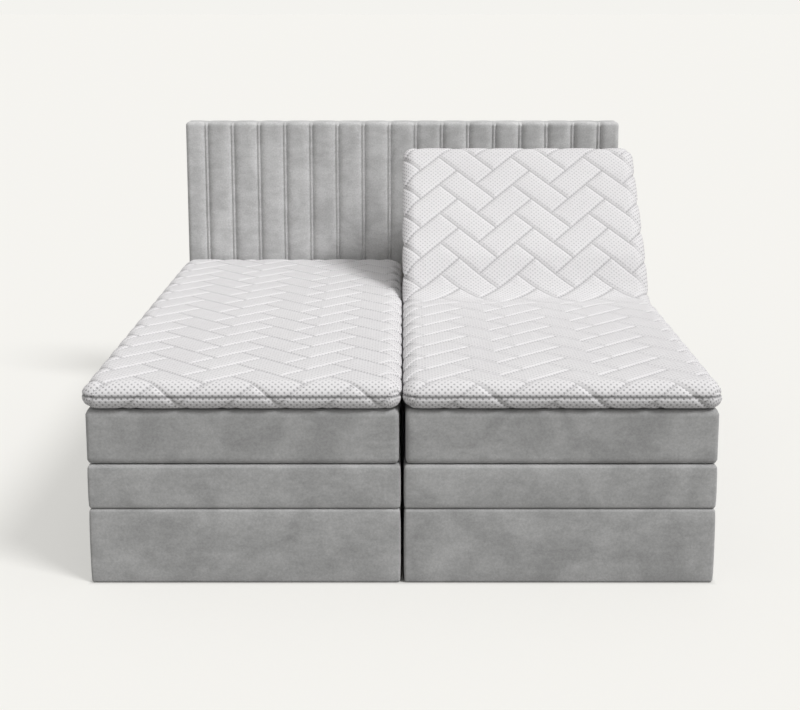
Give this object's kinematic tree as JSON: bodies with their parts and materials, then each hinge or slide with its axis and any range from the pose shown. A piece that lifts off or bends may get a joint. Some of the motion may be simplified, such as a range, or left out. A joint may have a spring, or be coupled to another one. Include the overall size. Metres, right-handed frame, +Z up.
{
  "type": "adjustable bed base",
  "caption": "Box-spring bed with two independent motorised halves, each with lifting back, thigh and calf sections, a mattress, a quilted topper and a shared channelled headboard.",
  "frame": {"origin": "centre of the bed's footprint on the floor, midway between the topper's foot end and the headboard's back", "axes": "+X to the right seen from the foot end, +Y from the foot end to the headboard, +Z up"},
  "size_m": [1.82, 2.117, 1.166],
  "materials": {
    "headboard_velvet": "short-pile polyester velvet, mottled",
    "casing_velvet": "short-pile polyester velvet over board",
    "mattress_velvet": "short-pile polyester velvet cover",
    "topper_knit": "quilted off-white double-knit cover",
    "headboard_board": "raw particle board",
    "headboard_back_cloth": "dark spun-bonded backing cloth",
    "birch_slats": "lacquered birch laminate",
    "bright_steel": "zinc-plated steel",
    "frame_steel": "black powder coat",
    "drive_plastic": "moulded black plastic",
    "fixing_steel": "zinc-plated steel"
  },
  "bodies": {
    "base": {"casing_connector": "fixing_steel", "headboard_back_panel": "headboard_back_cloth", "headboard_core": "headboard_board", "headboard_cushion": "headboard_velvet", "left_back_hinge_shaft": "bright_steel", "left_base_frame": "frame_steel", "left_control_unit": "drive_plastic", "left_headboard_bracket": "fixing_steel", "left_lower_casing": "casing_velvet", "left_mattress_seat": "mattress_velvet", "left_motor_housing": "drive_plastic", "left_seat_slats": "birch_slats", "left_thigh_hinge_shaft": "bright_steel", "left_topper_seat": "topper_knit", "left_upper_casing": "casing_velvet", "right_back_hinge_shaft": "bright_steel", "right_base_frame": "frame_steel", "right_control_unit": "drive_plastic", "right_headboard_bracket": "fixing_steel", "right_lower_casing": "casing_velvet", "right_mattress_seat": "mattress_velvet", "right_motor_housing": "drive_plastic", "right_seat_slats": "birch_slats", "right_thigh_hinge_shaft": "bright_steel", "right_topper_seat": "topper_knit", "right_upper_casing": "casing_velvet"},
    "left_back_section": {"left_back_frame": "frame_steel", "left_back_slats": "birch_slats"},
    "left_back_lift": {"left_back_lift_tube": "bright_steel"},
    "left_back_bedding": {"left_mattress_back": "mattress_velvet", "left_topper_back": "topper_knit"},
    "left_thigh_section": {"left_thigh_frame": "frame_steel", "left_thigh_slats": "birch_slats", "left_knee_hinge_shaft": "bright_steel"},
    "left_calf_section": {"left_calf_frame": "frame_steel", "left_calf_slats": "birch_slats"},
    "left_leg_lift": {"left_leg_lift_tube": "bright_steel"},
    "left_thigh_bedding": {"left_mattress_thigh": "mattress_velvet", "left_topper_thigh": "topper_knit"},
    "left_calf_bedding": {"left_mattress_calf": "mattress_velvet", "left_topper_calf": "topper_knit"},
    "right_back_section": {"right_back_frame": "frame_steel", "right_back_slats": "birch_slats"},
    "right_back_lift": {"right_back_lift_tube": "bright_steel"},
    "right_back_bedding": {"right_mattress_back": "mattress_velvet", "right_topper_back": "topper_knit"},
    "right_thigh_section": {"right_thigh_frame": "frame_steel", "right_thigh_slats": "birch_slats", "right_knee_hinge_shaft": "bright_steel"},
    "right_calf_section": {"right_calf_frame": "frame_steel", "right_calf_slats": "birch_slats"},
    "right_leg_lift": {"right_leg_lift_tube": "bright_steel"},
    "right_thigh_bedding": {"right_mattress_thigh": "mattress_velvet", "right_topper_thigh": "topper_knit"},
    "right_calf_bedding": {"right_mattress_calf": "mattress_velvet", "right_topper_calf": "topper_knit"}
  },
  "joints": [
    {"name": "left_back_hinge", "type": "hinge", "parent": "base", "child": "left_back_section", "pos_m": [-0.45225, 0.2505, 0.318], "axis": [1, 0, 0], "range_deg": [0, 45]},
    {"name": "left_back_lift", "type": "hinge", "parent": "base", "child": "left_back_lift", "pos_m": [-0.45225, 0.3105, 0.233], "axis": [1, 0, 0], "range_deg": [0, 45]},
    {"name": "left_back_fold", "type": "hinge", "parent": "base", "child": "left_back_bedding", "pos_m": [-0.45225, 0.1735, 0.52], "axis": [1, 0, 0], "range_deg": [0, 45], "deforming": ["left_mattress_seat", "left_topper_seat"]},
    {"name": "left_thigh_hinge", "type": "hinge", "parent": "base", "child": "left_thigh_section", "pos_m": [-0.45225, -0.1205, 0.318], "axis": [-1, 0, 0], "range_deg": [0, 30]},
    {"name": "left_leg_lift", "type": "hinge", "parent": "base", "child": "left_leg_lift", "pos_m": [-0.45225, -0.1805, 0.233], "axis": [-1, 0, 0], "range_deg": [0, 30]},
    {"name": "left_thigh_fold", "type": "hinge", "parent": "base", "child": "left_thigh_bedding", "pos_m": [-0.45225, -0.0745, 0.52], "axis": [-1, 0, 0], "range_deg": [0, 30]},
    {"name": "left_knee_hinge", "type": "hinge", "parent": "left_thigh_section", "child": "left_calf_section", "pos_m": [-0.45225, -0.4465, 0.318], "axis": [-1, 0, 0], "range_deg": [-40.5, 0]},
    {"name": "left_knee_fold", "type": "hinge", "parent": "left_thigh_bedding", "child": "left_calf_bedding", "pos_m": [-0.45225, -0.4125, 0.52], "axis": [-1, 0, 0], "range_deg": [-40.5, 0], "deforming": ["left_mattress_thigh"]},
    {"name": "right_back_hinge", "type": "hinge", "parent": "base", "child": "right_back_section", "pos_m": [0.45225, 0.2505, 0.318], "axis": [1, 0, 0], "range_deg": [-43, 2]},
    {"name": "right_back_lift", "type": "hinge", "parent": "base", "child": "right_back_lift", "pos_m": [0.45225, 0.3105, 0.233], "axis": [1, 0, 0], "range_deg": [-43, 2]},
    {"name": "right_back_fold", "type": "hinge", "parent": "base", "child": "right_back_bedding", "pos_m": [0.45225, 0.1735, 0.52], "axis": [1, 0, 0], "range_deg": [-43, 2], "deforming": ["right_mattress_seat", "right_topper_seat"]},
    {"name": "right_thigh_hinge", "type": "hinge", "parent": "base", "child": "right_thigh_section", "pos_m": [0.45225, -0.1205, 0.318], "axis": [-1, 0, 0], "range_deg": [0, 30]},
    {"name": "right_leg_lift", "type": "hinge", "parent": "base", "child": "right_leg_lift", "pos_m": [0.45225, -0.1805, 0.233], "axis": [-1, 0, 0], "range_deg": [0, 30]},
    {"name": "right_thigh_fold", "type": "hinge", "parent": "base", "child": "right_thigh_bedding", "pos_m": [0.45225, -0.0745, 0.52], "axis": [-1, 0, 0], "range_deg": [0, 30]},
    {"name": "right_knee_hinge", "type": "hinge", "parent": "right_thigh_section", "child": "right_calf_section", "pos_m": [0.45225, -0.4465, 0.318], "axis": [-1, 0, 0], "range_deg": [-40.5, 0]},
    {"name": "right_knee_fold", "type": "hinge", "parent": "right_thigh_bedding", "child": "right_calf_bedding", "pos_m": [0.45225, -0.4125, 0.52], "axis": [-1, 0, 0], "range_deg": [-40.5, 0], "deforming": ["right_mattress_thigh"]}
  ],
  "couplings": [
    {"joint": "left_back_lift", "follows": "left_back_hinge", "ratio": 1},
    {"joint": "left_back_fold", "follows": "left_back_hinge", "ratio": 1},
    {"joint": "left_leg_lift", "follows": "left_thigh_hinge", "ratio": 1},
    {"joint": "left_thigh_fold", "follows": "left_thigh_hinge", "ratio": 1},
    {"joint": "left_knee_hinge", "follows": "left_thigh_hinge", "ratio": -1.35},
    {"joint": "left_knee_fold", "follows": "left_thigh_hinge", "ratio": -1.35},
    {"joint": "right_back_lift", "follows": "right_back_hinge", "ratio": 1},
    {"joint": "right_back_fold", "follows": "right_back_hinge", "ratio": 1},
    {"joint": "right_leg_lift", "follows": "right_thigh_hinge", "ratio": 1},
    {"joint": "right_thigh_fold", "follows": "right_thigh_hinge", "ratio": 1},
    {"joint": "right_knee_hinge", "follows": "right_thigh_hinge", "ratio": -1.35},
    {"joint": "right_knee_fold", "follows": "right_thigh_hinge", "ratio": -1.35}
  ]
}
